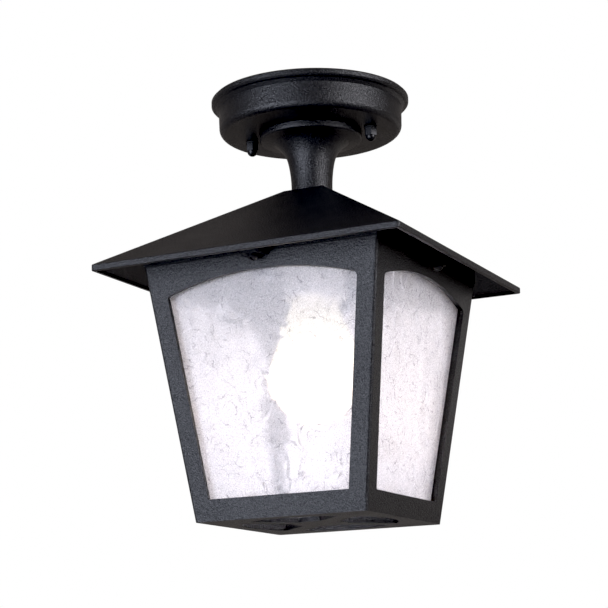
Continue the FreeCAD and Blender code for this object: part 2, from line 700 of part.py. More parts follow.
def lampholder():
    """A lampholder in two shells, with its insert, contacts and terminals."""
    neck_radius = "8"
    neck_low = HOLDER_TOP + " - 9"
    keep(turned("lampholder_cap", (
        ("holder_radius - 2", HOLDER_SPLIT), ("holder_radius", HOLDER_SPLIT),
        ("holder_radius", HOLDER_SPLIT + " + 6"), (neck_radius, neck_low),
        (neck_radius, HOLDER_TOP), ("rod_radius + thread_gap", HOLDER_TOP),
        ("rod_radius + thread_gap", HOLDER_TOP + " - 10.5"),
        ("holder_radius - 2", HOLDER_SPLIT + " + 5")),
        arcs={2: ("16", 1)}))
    keep(turned("lampholder_insert", (
        ("0", INSERT_LOW), ("17.2", INSERT_LOW), ("17.2", HOLDER_SPLIT + " - 0.3"),
        ("0", HOLDER_SPLIT + " - 0.3"))))
    keep(turned("lampholder_barrel", (
        ("14.3", HOLDER_FOOT), ("holder_radius - 0.8", HOLDER_FOOT),
        ("holder_radius", HOLDER_FOOT + " + 0.8"), ("holder_radius", HOLDER_SPLIT),
        ("17.3", HOLDER_SPLIT), ("17.3", INSERT_LOW), ("14.3", INSERT_LOW))))
    keep(ring("lampholder_shell", "13.5", "14", INSERT_LOW, HOLDER_FOOT + " + 1.5"))
    contact = new_body("lampholder_contact")
    tongue = sketch_on(contact, "XY_Plane", INSERT_LOW)
    outline(tongue, (("-3", "-9"), ("3", "-9"), ("3", "4"), ("-3", "4")))
    extrude(contact, "Pad", tongue, "0.7", backwards=True)
    keep(contact)
    terminals = []
    for number, (across, along) in enumerate(((-8, 0), (8, 0), (0, -8))):
        post = document.addObject("Part::Cylinder", "holder_terminal_%d" % number)
        post.Radius = 2.6
        post.Height = 4.0
        post.Placement = Placement(
            Vector(across, along, value(HOLDER_SPLIT + " - 0.3")), Rotation())
        terminals.append(post)
    keep(group("lampholder_terminals", terminals))


def lamp():
    """A round pearl lamp with a screw cap, hanging cap up."""
    tip = "-lamp_tip_drop"
    cap_top = tip + " - 2.5"
    cap_low = tip + " - 24"
    centre = "%s - lamp_length + lamp_radius" % tip
    foot = "%s - lamp_length" % tip
    keep(turned("lamp_contact", (
        ("0", cap_top + " + 0.3"), ("4.6", cap_top + " + 0.3"), ("3.6", tip), ("0", tip))))
    keep(turned("lamp_insulator", (
        ("0", cap_top + " - 2.4"), ("11.6", cap_top + " - 2.4"),
        ("4.6", cap_top + " + 0.3"), ("0", cap_top + " + 0.3"))))
    rib_pitch, ribs = 3.6, 4
    profile = [("12.1", cap_low), ("12.9", cap_low), ("12.9", cap_low + " + 4")]
    for rib in range(ribs):
        low = 4.6 + rib * rib_pitch
        profile.append(("lamp_cap_radius", "%s + %.2f" % (cap_low, low)))
        profile.append(("lamp_cap_radius", "%s + %.2f" % (cap_low, low + 0.9)))
        profile.append(("lamp_cap_radius - 0.9", "%s + %.2f" % (cap_low, low + 1.8)))
        if rib < ribs - 1:
            profile.append(("lamp_cap_radius - 0.9", "%s + %.2f" % (cap_low, low + 2.7)))
    profile.append(("11.7", cap_top + " - 2.4"))
    profile.append(("11.2", cap_top + " - 2.4"))
    profile.append(("11.2", cap_low + " + 4.4"))
    profile.append(("12.1", cap_low + " + 4.4"))
    keep(turned("lamp_cap", profile))
    keep(lamp_envelope(centre, foot, cap_low, "0.9"))


def lamp_envelope(centre, foot, cap_low, wall):
    """The lamp's glass: a ball that runs out through a cone into the neck."""
    neck = "11.9"
    neck_inside = "%s - %s" % (neck, wall)
    lean = "asin((%s + 4) / (%s - (%s)))" % ("lamp_radius - 18", cap_low, centre)
    touch_out = "lamp_radius * cos(%s)" % lean
    touch_up = "%s + lamp_radius * sin(%s)" % (centre, lean)
    inner_out = "(lamp_radius - %s) * cos(%s)" % (wall, lean)
    inner_up = "%s + (lamp_radius - %s) * sin(%s)" % (centre, wall, lean)
    return turned("lamp_glass", (
        ("0", foot), ("lamp_radius", centre), (touch_out, touch_up), (neck, cap_low),
        (neck, cap_low + " + 4"), (neck_inside, cap_low + " + 4"), (neck_inside, cap_low),
        (inner_out, inner_up), ("lamp_radius - " + wall, centre),
        ("0", "%s + %s" % (foot, wall))),
        arcs={0: ("lamp_radius", 1), 1: ("lamp_radius", 1),
              7: ("lamp_radius - " + wall, -1), 8: ("lamp_radius - " + wall, -1)})


# ---------------------------------------------------------------- cage

SLANT = "atan((cage_half - cage_foot_half) / cage_drop)"
CLIP_GRIP_DROP = "12"
PANE_BACK = "(%s - cage_wall - (seal_thick + glass_thick) / cos(%s))" % (
    wall_half(CLIP_GRIP_DROP), SLANT)
CLIP_TOE = "-(%s - 0.15)" % PANE_BACK
CLIP_BACK = CLIP_TOE + " + 2.9"
CLIP_SCREW = CLIP_TOE + " - 1.7"


def window_corners(sill, spring, grow, stretch, lift):
    """The window's four corners: sill and spring below the eaves, grown on every side."""
    corners = []
    for drop, sign, out in ((sill, "-", "+"), (sill, "", "+"), (spring, "", "-"), (spring, "-", "-")):
        half = "(%s - post_width + %s)" % (wall_half(drop), grow)
        corners.append((sign + half, "%s - (%s %s %s) %s" % (lift, drop, out, grow, stretch)))
    return corners


def cage():
    """The cast cage: tapered walls, arched windows, a grille floor, lugs and bosses."""
    body = new_body("cage")
    top = EAVES + " + cage_rise"
    top_half = wall_half("-cage_rise")
    floor_top = CAGE_FOOT + " + cage_floor"
    floor_half = wall_half("cage_drop - cage_floor")
    taper(body, "Additive", (("cage_foot_half", CAGE_FOOT), (top_half, top)))
    round_edges(body, value("cage_corner"),
                lambda edge, middle: min(abs(middle.x), abs(middle.y)) > 40)
    lug = sketch_on(body, "XY_Plane", EAVES + " + cage_rise - lug_thick")
    lug_root = "-(%s - cage_wall)" % top_half
    lug_tip = "-(cage_half + lug_reach)"
    bend = "4"
    outline(lug, (
        ("-lug_half", lug_root), ("-lug_half", lug_tip + " + " + bend),
        ("-lug_half + " + bend, lug_tip), ("lug_half - " + bend, lug_tip),
        ("lug_half", lug_tip + " + " + bend), ("lug_half", lug_root)),
        arcs={1: (bend, 1), 3: (bend, 1)})
    lugs = extrude(body, "Pad", lug, "lug_thick")
    around(body, lugs, len(SIDES))
    taper(body, "Subtractive", (
        ("(%s - cage_wall)" % floor_half, floor_top),
        ("(%s - cage_wall)" % top_half, top)))
    rib = sketch_on(body, "XY_Plane", floor_top)
    rib_half = "(%s - cage_wall - seal_thick - glass_thick - 0.6)" % floor_half
    square(rib, rib_half)
    square(rib, "(%s - 2.4)" % rib_half)
    extrude(body, "Pad", rib, "sill_rib")
    clip_boss = sketch_on(body, "XY_Plane", top)
    outline(clip_boss, (
        ("-7", "-(%s - 2)" % top_half), ("-7", CLIP_BACK + " - 0.3"),
        ("7", CLIP_BACK + " - 0.3"), ("7", "-(%s - 2)" % top_half)))
    clip_bosses = extrude(body, "Pad", clip_boss, "cage_rise", backwards=True)
    around(body, clip_bosses, len(SIDES))
    for plane in ("XZ_Plane", "YZ_Plane"):
        window = sketch_on(body, plane)
        outline(window, window_corners(
            "window_foot_drop", "window_spring_drop", "0", "", EAVES),
            arcs={2: ("arch_radius", 1)})
        extrude(body, "Pocket", window, "3 * cage_half", both_ways=True)
    spring_high = value(EAVES + " - window_spring_drop")
    spring_half = value("%s - post_width" % wall_half("window_spring_drop"))
    round_edges(body, value("window_corner"),
                lambda edge, middle: abs(middle.z - spring_high) < 0.1
                and abs(min(abs(middle.x), abs(middle.y)) - spring_half) < 0.1)
    opening = sketch_on(body, "XY_Plane", CAGE_FOOT)
    half_web = "grille_web / sqrt(2)"
    hub_in = "(-%s + sqrt(2 * grille_hub^2 - (%s)^2)) / 2" % (half_web, half_web)
    rim_in = "(-%s + sqrt(2 * grille_radius^2 - (%s)^2)) / 2" % (half_web, half_web)
    outline(opening, (
        ("%s + %s" % (hub_in, half_web), hub_in), ("%s + %s" % (hub_in, half_web), "-(%s)" % hub_in),
        ("%s + %s" % (rim_in, half_web), "-(%s)" % rim_in), ("%s + %s" % (rim_in, half_web), rim_in)),
        arcs={0: ("grille_hub", -1), 2: ("grille_radius", 1)})
    openings = extrude(body, "Pocket", opening, "3 * cage_floor", both_ways=True)
    around(body, openings, len(SIDES))
    holes = sketch_on(body, "XY_Plane", top + " + 1")
    circle(holes, "0", "-lug_screw_radius", "2.3")
    circle(holes, "0", CLIP_SCREW, "1.3")
    drilled = extrude(body, "Pocket", holes, "lug_thick + 3")
    around(body, drilled, len(SIDES))
    keep(body)
    return body


def glass_frame(place_side, thing):
    """Tilt a piece drawn upright on the front wall's plane, and turn it to its side."""
    lean = Rotation(ACROSS, value(SLANT))
    thing.Placement = Placement(Vector(0, value("-cage_half"), value(EAVES)), lean)
    return turn_to_side(thing, place_side)


def panes_and_seals():
    """Four trapezoid panes, each against a soft seal behind its window."""
    stretch = "/ cos(%s)" % SLANT
    wall_square = "cage_wall * cos(%s)" % SLANT
    seals = []
    for number, side in enumerate(SIDES):
        pane = new_body("glass_pane_" + side)
        sketch = sketch_on(pane, "XZ_Plane", "-(%s + seal_thick)" % wall_square)
        corners = []
        for drop, sign in (("glass_foot_drop", "-"), ("glass_foot_drop", ""),
                           ("glass_top_drop", ""), ("glass_top_drop", "-")):
            half = "(%s - glass_margin)" % wall_half(drop)
            corners.append((sign + half, "-%s %s" % (drop, stretch)))
        outline(sketch, corners)
        extrude(pane, "Pad", sketch, "glass_thick", backwards=True)
        keep(glass_frame(number, pane))
        seal = new_body("glass_seal_" + side)
        frame = sketch_on(seal, "XZ_Plane", "-(%s)" % wall_square)
        edge = []
        for drop, sign in (("glass_foot_drop - 2", "-"), ("glass_foot_drop - 2", ""),
                           ("glass_top_drop + 0.4", ""), ("glass_top_drop + 0.4", "-")):
            half = "(%s - glass_margin - 0.4)" % wall_half(drop)
            edge.append((sign + half, "-(%s) %s" % (drop, stretch)))
        outline(frame, edge)
        outline(frame, window_corners(
            "window_foot_drop", "window_spring_drop", "0.9", stretch, "0"),
            arcs={2: ("arch_radius", 1)})
        extrude(seal, "Pad", frame, "seal_thick", backwards=True)
        seals.append(glass_frame(number, seal))
    keep(group("glass_seals", seals))


def pane_clips():
    """A bent spring clip and a screw at the top of each pane."""
    clips = []
    screws = []
    plate_low = EAVES + " + cage_rise"
    thick = "0.8"
    plate_out = CLIP_TOE + " - 4.7"
    grip_low = "%s - %s" % (EAVES, CLIP_GRIP_DROP)
    bend_low = EAVES + " - 0.5"
    for number, side in enumerate(SIDES):
        clip = new_body("pane_clip_" + side)
        profile = sketch_on(clip, "YZ_Plane")
        outline(profile, (
            (plate_out, plate_low), (CLIP_BACK, plate_low), (CLIP_BACK, bend_low),
            (CLIP_TOE, grip_low), ("%s + %s" % (CLIP_TOE, thick), grip_low + " - 0.2"),
            ("%s + %s" % (CLIP_BACK, thick), bend_low + " - 0.2"),
            ("%s + %s" % (CLIP_BACK, thick), "%s + %s" % (plate_low, thick)),
            (plate_out, "%s + %s" % (plate_low, thick))))
        extrude(clip, "Pad", profile, "12", both_ways=True)
        hole = sketch_on(clip, "XY_Plane", plate_low + " + 2")
        circle(hole, "0", CLIP_SCREW, "1.6")
        extrude(clip, "Pocket", hole, "4")
        clips.append(turn_to_side(clip, number))
        head_low = "%s + %s" % (plate_low, thick)
        screw = turned("clip_screw_" + side, (
            ("0", head_low + " - 4"), ("1.25", head_low + " - 4"), ("1.25", head_low),
            ("2.7", head_low), ("2.2", head_low + " + 1.4"), ("0", head_low + " + 1.4")))
        screw.Placement = Placement(Vector(0, value(CLIP_SCREW), 0), Rotation())
        screws.append(turn_to_side(screw, number))
    keep(group("pane_clips", clips))
    keep(group("pane_clip_screws", screws))


def retaining_screws():
    """A screw up through each lug into the roof's boss, with a washer under its head."""
    lug_low = EAVES + " + cage_rise - lug_thick"
    washer_low = lug_low + " - 0.6"
    washers = []
    for number, side in enumerate(SIDES):
        washer = ring("lug_washer_" + side, "2.3", "4.3", lug_low, washer_low)
        washer.Placement = Placement(Vector(0, value("-lug_screw_radius"), 0), Rotation())
        washers.append(turn_to_side(washer, number))
    keep(group("lug_washers", washers))
    for number, side in enumerate(SIDES):
        screw = turned("retaining_screw_" + side, (
            ("0", washer_low + " - 2.9"), ("1.8", washer_low + " - 2.9"),
            ("3.7", washer_low + " - 1.2"), ("3.7", washer_low),
            (STUD_RADIUS, washer_low), (STUD_RADIUS, washer_low + " + 9.4"),
            ("1.5", washer_low + " + 10"), ("0", washer_low + " + 10")),
            arcs={1: ("3.4", 1)})
        slot = sketch_on(screw, "XY_Plane", washer_low + " - 3.5")
        outline(slot, (("-0.5", "-4"), ("0.5", "-4"), ("0.5", "4"), ("-0.5", "4")))
        extrude(screw, "Pocket", slot, "1.7", backwards=True)
        screw.Placement = Placement(Vector(0, value("-lug_screw_radius"), 0), Rotation())
        keep(turn_to_side(screw, number))


# ---------------------------------------------------------------- build, check, write

mounting_strap()
strap_hardware()
ceiling_canopy()
canopy_fixings()
stem()
threaded_tube()
terminal_block()
wires()
roof()
roof_gasket()
lampholder()
lamp()
cage()
panes_and_seals()
pane_clips()
retaining_screws()
document.recompute()

for thing in document.Objects:
    if "Invalid" in thing.State or "Error" in thing.State:
        raise ValueError("%s failed: %s" % (thing.Name, thing.State))

for thing in subparts:
    if thing.Shape.isNull() or not thing.Shape.isValid():
        raise ValueError("%s has no valid shape" % thing.Label)

os.makedirs("parts", exist_ok=True)
for thing in subparts:
    thing.Shape.exportStep("parts/%s.step" % thing.Label)
    box = thing.Shape.BoundBox
    print("%-24s solids %d volume %10.1f  z %.1f..%.1f" % (
        thing.Label, len(thing.Shape.Solids), thing.Shape.Volume, box.ZMin, box.ZMax))
print("%d sub-parts" % len(subparts))
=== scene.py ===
import json
import math

import bpy
import numpy as np
from mathutils import Matrix, Vector


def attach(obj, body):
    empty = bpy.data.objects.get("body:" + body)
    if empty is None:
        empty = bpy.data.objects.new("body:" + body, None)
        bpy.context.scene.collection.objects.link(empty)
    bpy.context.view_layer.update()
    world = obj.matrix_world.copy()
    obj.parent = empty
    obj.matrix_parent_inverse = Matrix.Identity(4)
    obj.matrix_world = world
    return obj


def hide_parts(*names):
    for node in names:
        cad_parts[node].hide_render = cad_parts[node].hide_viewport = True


# The looks of a porch ceiling lantern: fine-grained black powder coat on castings,
# hammered glass in four arched windows, and a lit opal lamp. Metres. The origin is
# the centre of the ceiling screws and +Z is up.

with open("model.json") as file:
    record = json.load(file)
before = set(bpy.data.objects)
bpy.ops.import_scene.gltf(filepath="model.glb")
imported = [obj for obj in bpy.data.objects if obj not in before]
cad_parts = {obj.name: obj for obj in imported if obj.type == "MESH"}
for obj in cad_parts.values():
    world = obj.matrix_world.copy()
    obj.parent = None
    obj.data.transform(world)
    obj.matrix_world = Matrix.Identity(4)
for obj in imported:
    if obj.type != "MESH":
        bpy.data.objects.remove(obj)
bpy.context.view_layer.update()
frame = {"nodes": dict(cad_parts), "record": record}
nodes = frame["nodes"]

# The cage's walls: half its width level with the eaves and at its foot, and its height
EAVES = -0.1208
CAGE_HALF, FOOT_HALF, CAGE_DROP = 0.07775, 0.0566, 0.1517
SLANT = math.atan((CAGE_HALF - FOOT_HALF) / CAGE_DROP)

# ---------------------------------------------------------------- materials


def set_stops(ramp_node, stops):
    """Give a colour ramp its stops, each a place from 0 to 1 and a colour."""
    elements = ramp_node.color_ramp.elements
    while len(elements) < len(stops):
        elements.new(0.5)
    for element, (where, colour) in zip(elements, stops):
        element.position = where
        element.color = (*colour, 1.0)


class Shader:
    """A material and short calls that add and link its nodes."""

    def __init__(self, name):
        self.material = bpy.data.materials.new(name)
        self.material.use_nodes = True
        self.tree = self.material.node_tree
        self.tree.nodes.clear()
        self.output = self.tree.nodes.new("ShaderNodeOutputMaterial")

    def add(self, kind, sockets=None, **settings):
        """A node with its settings, and its sockets given values or links."""
        node = self.tree.nodes.new("ShaderNode" + kind)
        for name, setting in settings.items():
            setattr(node, name, setting)
        for name, given in (sockets or {}).items():
            if isinstance(given, bpy.types.NodeSocket):
                self.tree.links.new(given, node.inputs[name])
            else:
                node.inputs[name].default_value = given
        return node

    def place(self):
        """Where a point is on the object, in metres."""
        return self.add("TexCoord").outputs["Object"]

    def noise(self, scale, detail=2.0, roughness=0.5, distortion=0.0):
        """A noise value from 0 to 1 whose lumps are about 1 / scale metres."""
        node = self.add("TexNoise", {
            "Vector": self.place(), "Scale": scale, "Detail": detail,
            "Roughness": roughness, "Distortion": distortion})
        return node.outputs["Fac"]

    def ramp(self, fac, *stops):
        """A colour from a value by way of a colour ramp's stops."""
        node = self.add("ValToRGB", {"Fac": fac})
        set_stops(node, stops)
        return node.outputs["Color"]

    def remap(self, fac, low, high, start=0.0, stop=1.0):
        """The value stretched from start..stop to low..high."""
        node = self.add("MapRange", {
            "Value": fac, "From Min": start, "From Max": stop, "To Min": low, "To Max": high})
        return node.outputs["Result"]

    def math(self, operation, first, second=None):
        """The result of a sum on one or two values or links."""
        sockets = {0: first} if second is None else {0: first, 1: second}
        return self.add("Math", sockets, operation=operation).outputs[0]

    def bump(self, height, strength, distance, normal=None):
        """A bump normal from a height."""
        sockets = {"Height": height, "Strength": strength, "Distance": distance}
        if normal is not None:
            sockets["Normal"] = normal
        return self.add("Bump", sockets).outputs["Normal"]

    def surface(self, sockets):
        """A principled surface on the output."""
        node = self.add("BsdfPrincipled", sockets)
        self.tree.links.new(node.outputs[0], self.output.inputs["Surface"])


# Noise scales are lumps per metre, and bump depths are metres. A span is the part of
# a noise's range that is stretched over the whole change.
WIDE_SPAN = (0.3, 0.7)

# Powder coat: its sparkles are finer than its orange peel, and its sheen drifts slowly
PEEL_SPAN = (0.32, 0.74)
PEEL_DEPTH = 0.00070
SPARKLE_FINENESS = 1.6
SPARKLE_SPAN = (0.36, 0.64)
SHEEN = (0.30, 0.75)
DRIFT_SCALE = 28.0
DRIFT_BELOW, DRIFT_ABOVE = 0.03, 0.04


def powder_coat(name, dark, light, grain, roughness, relief):
    """Black powder coat: a fine orange peel with bright grains and small sheen changes."""
    shader = Shader(name)
    fine = shader.noise(1 / grain, detail=2.5, roughness=0.65)
    sparkle = shader.noise(SPARKLE_FINENESS / grain, detail=1.5, roughness=0.6)
    broad = shader.noise(DRIFT_SCALE, detail=3.0)
    shader.surface({
        "Base Color": shader.ramp(fine, *zip(PEEL_SPAN, (dark, light))),
        "Specular IOR Level": shader.remap(sparkle, *SHEEN, *SPARKLE_SPAN),
        "Roughness": shader.remap(broad, roughness - DRIFT_BELOW, roughness + DRIFT_ABOVE,
                                  *WIDE_SPAN),
        "Normal": shader.bump(fine, relief, PEEL_DEPTH)})
    return shader.material


STAIN_SCALE = 220.0
SCRATCH_SCALE = 1600.0
SCRATCH_STRENGTH, SCRATCH_DEPTH = 0.08, 0.00005


def plain_metal(name, low, high, roughness, metallic=1.0):
    """Bare or plated metal with faint stains and scratches."""
    shader = Shader(name)
    stain = shader.noise(STAIN_SCALE, detail=4.0)
    scratch = shader.noise(SCRATCH_SCALE, detail=1.0)
    shader.surface({
        "Base Color": shader.ramp(stain, *zip(WIDE_SPAN, (low, high))),
        "Metallic": metallic,
        "Roughness": shader.remap(stain, roughness - 0.06, roughness + 0.1),
        "Normal": shader.bump(scratch, SCRATCH_STRENGTH, SCRATCH_DEPTH)})
    return shader.material


MOULD_GRAIN_SCALE = 900.0
MOULD_SHADE_SCALE = 60.0
MOULD_STRENGTH, MOULD_DEPTH = 0.15, 0.00006


def moulded(name, low, high, roughness):
    """Plastic, rubber or ceramic with a faint moulded grain."""
    shader = Shader(name)
    grain = shader.noise(MOULD_GRAIN_SCALE)
    broad = shader.noise(MOULD_SHADE_SCALE)
    shader.surface({
        "Base Color": shader.ramp(broad, *zip(WIDE_SPAN, (low, high))),
        "Roughness": shader.remap(grain, roughness - 0.05, roughness + 0.08),
        "Normal": shader.bump(grain, MOULD_STRENGTH, MOULD_DEPTH)})
    return shader.material


STRIPE_WAVES = 900.0
GREEN, YELLOW = (0.02, 0.16, 0.03), (0.60, 0.50, 0.02)
WIRE_GRAIN_SCALE = 1500.0
WIRE_STRENGTH, WIRE_DEPTH = 0.05, 0.00003


def striped_wire():
    """Green insulation with yellow bands that follow one another down the wire."""
    shader = Shader("earth_insulation")
    place = shader.add("SeparateXYZ", {"Vector": shader.place()})
    phase = shader.math("MULTIPLY", place.outputs["Z"], STRIPE_WAVES)
    wave = shader.math("SINE", phase)
    stripe = shader.ramp(wave, (0.45, GREEN), (0.55, YELLOW))
    shader.surface({
        "Base Color": stripe, "Roughness": 0.4,
        "Normal": shader.bump(shader.noise(WIRE_GRAIN_SCALE), WIRE_STRENGTH, WIRE_DEPTH)})
    return shader.material


# Hammered glass: fine hairlines run at even steps inward from each blob's rim, stray
# with a noise and fade in patches. Each hairline is a bump and also painted dark shade that
# stands in for the dark lines that refraction draws. The inner face has no hairlines and no haze.
GLASS_GRAIN_SCALE = 1500.0
GLASS_GRAIN_STRENGTH, GLASS_GRAIN_DEPTH = 0.12, 0.00010
HAIR_STEP = 0.0021
HAIR_WIDTH = 0.00045
HAIR_WANDER = 0.0050
HAIR_WANDER_SCALE = 330.0
HAIR_PATCH_SCALE = 150.0
HAIR_PATCH_SPAN = (0.47, 0.60)
HAIR_STRENGTH, HAIR_DEPTH = -0.6, 0.00012
# Painted shade along the hairlines: how dark it gets, and its colour
HAIR_SHADE_STRENGTH = 0.62
HAIR_SHADE_COLOUR = (0.05, 0.05, 0.06, 1.0)
INNER_RING = -1.0
CLEAR_SHARE = (0.95, 0.74)
CLEAR_ROUGHNESS = (0.02, 0.15)
HAZE_SHARE = (0.28, 0.52)
CLEAR_TINTS = ((0.32, (0.84, 0.82, 0.84)), (0.60, (1.0, 0.995, 1.0)))
HAZE_TINTS = ((0.30, (0.74, 0.72, 0.75)), (0.62, (1.0, 0.98, 1.0)))


def hammered_glass():
    """Hammered glass: its waves are in the mesh; a fine grain and hairline bumps scatter the
    light, and painted dark shade lies along the hairlines.
    """
    shader = Shader("hammered_glass")
    ring = shader.add("Attribute", attribute_name="ring").outputs["Fac"]
    fine = shader.noise(GLASS_GRAIN_SCALE, detail=2.5, roughness=0.7, distortion=0.8)
    wander = shader.noise(HAIR_WANDER_SCALE, detail=2.0, roughness=0.6)
    stray = shader.math("MULTIPLY", wander, HAIR_WANDER)
    line = shader.math("ADD", ring, stray)
    phase = shader.math("PINGPONG", line, HAIR_STEP)
    hair = shader.remap(phase, 1.0, 0.0, 0.0, HAIR_WIDTH)
    patchy = shader.remap(shader.noise(HAIR_PATCH_SCALE), 0.0, 1.0, *HAIR_PATCH_SPAN)
    hair = shader.math("MULTIPLY", hair, patchy)
    grain = shader.bump(fine, GLASS_GRAIN_STRENGTH, GLASS_GRAIN_DEPTH)
    normal = shader.bump(hair, HAIR_STRENGTH, HAIR_DEPTH, normal=grain)
    clear = shader.add("BsdfPrincipled", {
        "Base Color": shader.ramp(fine, *CLEAR_TINTS),
        "Roughness": shader.remap(wander, *CLEAR_ROUGHNESS, 0.40, 0.62), "IOR": 1.5,
        "Transmission Weight": shader.remap(fine, *CLEAR_SHARE, *WIDE_SPAN), "Normal": normal})
    milky = shader.ramp(fine, *HAZE_TINTS)
    haze = shader.add("BsdfTranslucent", {"Color": milky, "Normal": normal})
    outside = shader.math("GREATER_THAN", ring, INNER_RING / 2)
    share = shader.math("MULTIPLY", shader.remap(fine, *HAZE_SHARE, *WIDE_SPAN), outside)
    mixed = shader.add("MixShader", {0: share, 1: clear.outputs[0], 2: haze.outputs[0]})
    # Painted shade: a dark diffuse surface mixed in along the hairlines stands in for refraction
    # lines
    painted_hair_shade = shader.add("BsdfDiffuse", {"Color": HAIR_SHADE_COLOUR})
    hair_shade_share = shader.remap(hair, 0.0, HAIR_SHADE_STRENGTH)
    glass_with_hair_shade = shader.add("MixShader", {0: hair_shade_share, 1: mixed.outputs[0], 2: painted_hair_shade.outputs[0]})
    shader.tree.links.new(glass_with_hair_shade.outputs[0], shader.output.inputs["Surface"])
    return shader.material


# The lamp's glow, from the foot of its glass (0) to its neck (1)
LAMP_FOOT, LAMP_NECK = -0.211, -0.127
LAMP_GLOW = ((0.0, (1.0, 0.76, 0.52)), (0.42, (1.0, 0.80, 0.54)),
             (0.66, (0.30, 0.27, 0.15)), (1.0, (0.07, 0.06, 0.035)))
LAMP_STRENGTH = 2.8


def opal_lamp():
    """Lit opal glass, much dimmer towards its neck."""
    shader = Shader("lit_opal_glass")
    place = shader.add("SeparateXYZ", {"Vector": shader.place()})
    height = shader.remap(place.outputs["Z"], 0.0, 1.0, LAMP_FOOT, LAMP_NECK)
    glow = shader.ramp(height, *LAMP_GLOW)
    shader.surface({
        "Base Color": (0.95, 0.94, 0.92, 1.0), "Roughness": 0.35,
        "Emission Color": glow, "Emission Strength": LAMP_STRENGTH})
    return shader.material


cast_coat = powder_coat("cast_powder_coat", (0.0040, 0.0042, 0.0048), (0.022, 0.023, 0.026),
                        grain=0.0011, roughness=0.35, relief=0.8)
pressed_coat = powder_coat("pressed_powder_coat", (0.0035, 0.0037, 0.0042), (0.018, 0.019, 0.022),
                           grain=0.0010, roughness=0.29, relief=0.7)
gloss_black = plain_metal("black_screws", (0.010, 0.010, 0.011), (0.022, 0.022, 0.024),
                          0.28, metallic=0.3)
zinc = plain_metal("zinc_plate", (0.45, 0.45, 0.46), (0.66, 0.66, 0.66), 0.32)
brass = plain_metal("brass", (0.55, 0.38, 0.14), (0.74, 0.55, 0.24), 0.28)
aluminium = plain_metal("rolled_aluminium", (0.60, 0.60, 0.62), (0.80, 0.80, 0.81), 0.24)
rubber = moulded("black_rubber", (0.010, 0.010, 0.010), (0.022, 0.022, 0.022), 0.7)
white_plastic = moulded("white_thermoset", (0.72, 0.71, 0.68), (0.82, 0.81, 0.79), 0.35)
steatite = moulded("steatite", (0.68, 0.65, 0.60), (0.80, 0.78, 0.74), 0.6)
natural_plastic = moulded("natural_polyamide", (0.66, 0.65, 0.60), (0.78, 0.77, 0.73), 0.45)
vitrite = moulded("black_vitrite", (0.010, 0.010, 0.014), (0.020, 0.020, 0.026), 0.12)
brown_wire = moulded("brown_insulation", (0.10, 0.035, 0.012), (0.14, 0.05, 0.02), 0.4)
blue_wire = moulded("blue_insulation", (0.01, 0.07, 0.32), (0.02, 0.10, 0.42), 0.4)
earth_wire = striped_wire()
clear_glass = hammered_glass()
lit_glass = opal_lamp()

FINISHES = {
    "cast_black": cast_coat, "pressed_black": pressed_coat, "nut_black": gloss_black,
    "zinc": zinc, "earth_brass": brass, "seal_rubber": rubber, "holder_plastic": white_plastic,
    "holder_ceramic": steatite, "block_plastic": natural_plastic, "lamp_glass": lit_glass,
    "lamp_cap": aluminium, "lamp_insulator": vitrite, "wire_brown": brown_wire,
    "wire_blue": blue_wire, "wire_green": earth_wire, "hammered_glass": clear_glass,
}

# The record gives each piece its slot. The stem has the smoother coat of the canopy.
for row in frame["record"]["subparts"]:
    node = nodes[row["node"]]
    node.data.materials.clear()
    finish = pressed_coat if row["node"] == "stem" else FINISHES[row["material_slot"]]
    node.data.materials.append(finish)

# ---------------------------------------------------------------- hammered glass

# A pane lies behind the cage's wall and its seal. Its top and foot are measured down
# from the eaves, and its margin is what the wall is wider than the pane on each side.
PANE_TOP, PANE_FOOT = 0.0015, 0.1481
PANE_MARGIN = 0.0083
PANE_THICK = 0.0030
WALL_THICK = 0.0025
SEAL_THICK = 0.0020
PANE_NEAR = WALL_THICK * math.cos(SLANT) + SEAL_THICK

# The hammered face: round blobs that lie over one another and flatten at its sides
DIMPLE_DEPTH = 0.00034
BLOB_REACH = (0.0085, 0.0125)
BLOB_COUNT = 130
GRID_STEP = 0.0010
FLAT_RIM = 0.0015
CRISP_ANGLE = math.radians(50)


def pane_half(drop):
    """Half the pane's width at a distance below the eaves."""
    return CAGE_HALF - drop * (CAGE_HALF - FOOT_HALF) / CAGE_DROP - PANE_MARGIN


def dimples(across, along, seed):
    """Heights from 0 to 1, and each point's distance inside the blob that covers it."""
    random = np.random.default_rng(seed)
    height = np.zeros(across.shape)
    inside = np.full(across.shape, BLOB_REACH[1])
    for _ in range(BLOB_COUNT):
        x = random.uniform(-1.0, 1.0) * pane_half(PANE_TOP)
        y = random.uniform(0.0, 1.0) * PANE_FOOT / math.cos(SLANT)
        reach = random.uniform(*BLOB_REACH)
        distance = np.hypot(across - x, along - y)
        covered = distance < reach
        height = np.where(covered, 1.0 - (distance / reach) ** 2, height)
        inside = np.where(covered, reach - distance, inside)
    return height, inside


